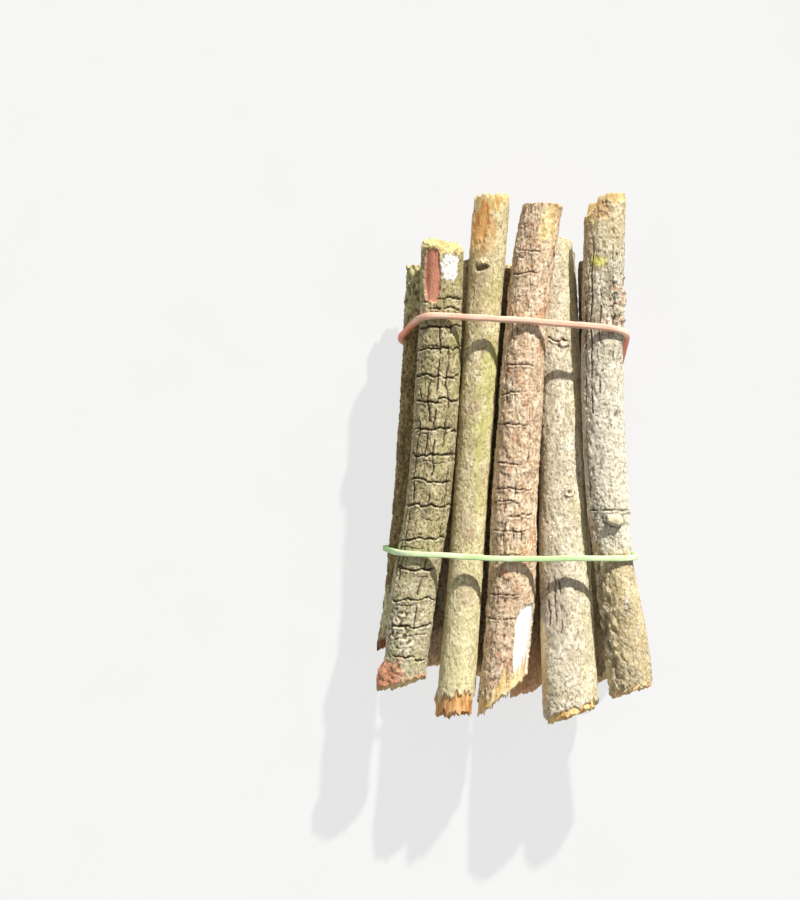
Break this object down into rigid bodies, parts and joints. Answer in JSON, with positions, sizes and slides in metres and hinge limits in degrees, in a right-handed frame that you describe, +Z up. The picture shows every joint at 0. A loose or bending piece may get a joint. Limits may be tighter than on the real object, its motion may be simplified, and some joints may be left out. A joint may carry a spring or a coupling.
{
  "type": "bundle of twigs",
  "caption": "Bundle of short cut twigs with mixed bark and ragged cut ends, held together by stretched rubber bands and lying on its side.",
  "frame": {"origin": "middle of the bundle's footprint, on the surface that it lies on", "axes": "+Y along the twigs towards their thin ends, +Z up out of the surface, +X across the bundle"},
  "size_m": [0.0828, 0.1592, 0.04],
  "materials": {
    "bark_scaly": "rough bark",
    "bark_mossy": "rough bark",
    "bark_brown": "rough bark",
    "bark_smooth": "rough bark",
    "bark_knotted": "rough bark",
    "bark_side": "rough bark",
    "bark_inner_left": "rough bark",
    "bark_inner_middle": "rough bark",
    "bark_inner_right": "rough bark",
    "bark_under_1": "rough bark",
    "bark_under_2": "rough bark",
    "bark_under_3": "rough bark",
    "bark_under_4": "rough bark",
    "bark_under_5": "rough bark",
    "rubber_coral": "satin",
    "rubber_green": "satin"
  },
  "bodies": {
    "root": {"twig_scaly": "bark_scaly", "twig_mossy": "bark_mossy", "twig_brown": "bark_brown", "twig_smooth": "bark_smooth", "twig_knotted": "bark_knotted", "twig_side": "bark_side", "twig_inner_left": "bark_inner_left", "twig_inner_middle": "bark_inner_middle", "twig_inner_right": "bark_inner_right", "twig_under_1": "bark_under_1", "twig_under_2": "bark_under_2", "twig_under_3": "bark_under_3", "twig_under_4": "bark_under_4", "twig_under_5": "bark_under_5", "band_coral": "rubber_coral", "band_green": "rubber_green"}
  },
  "joints": []
}
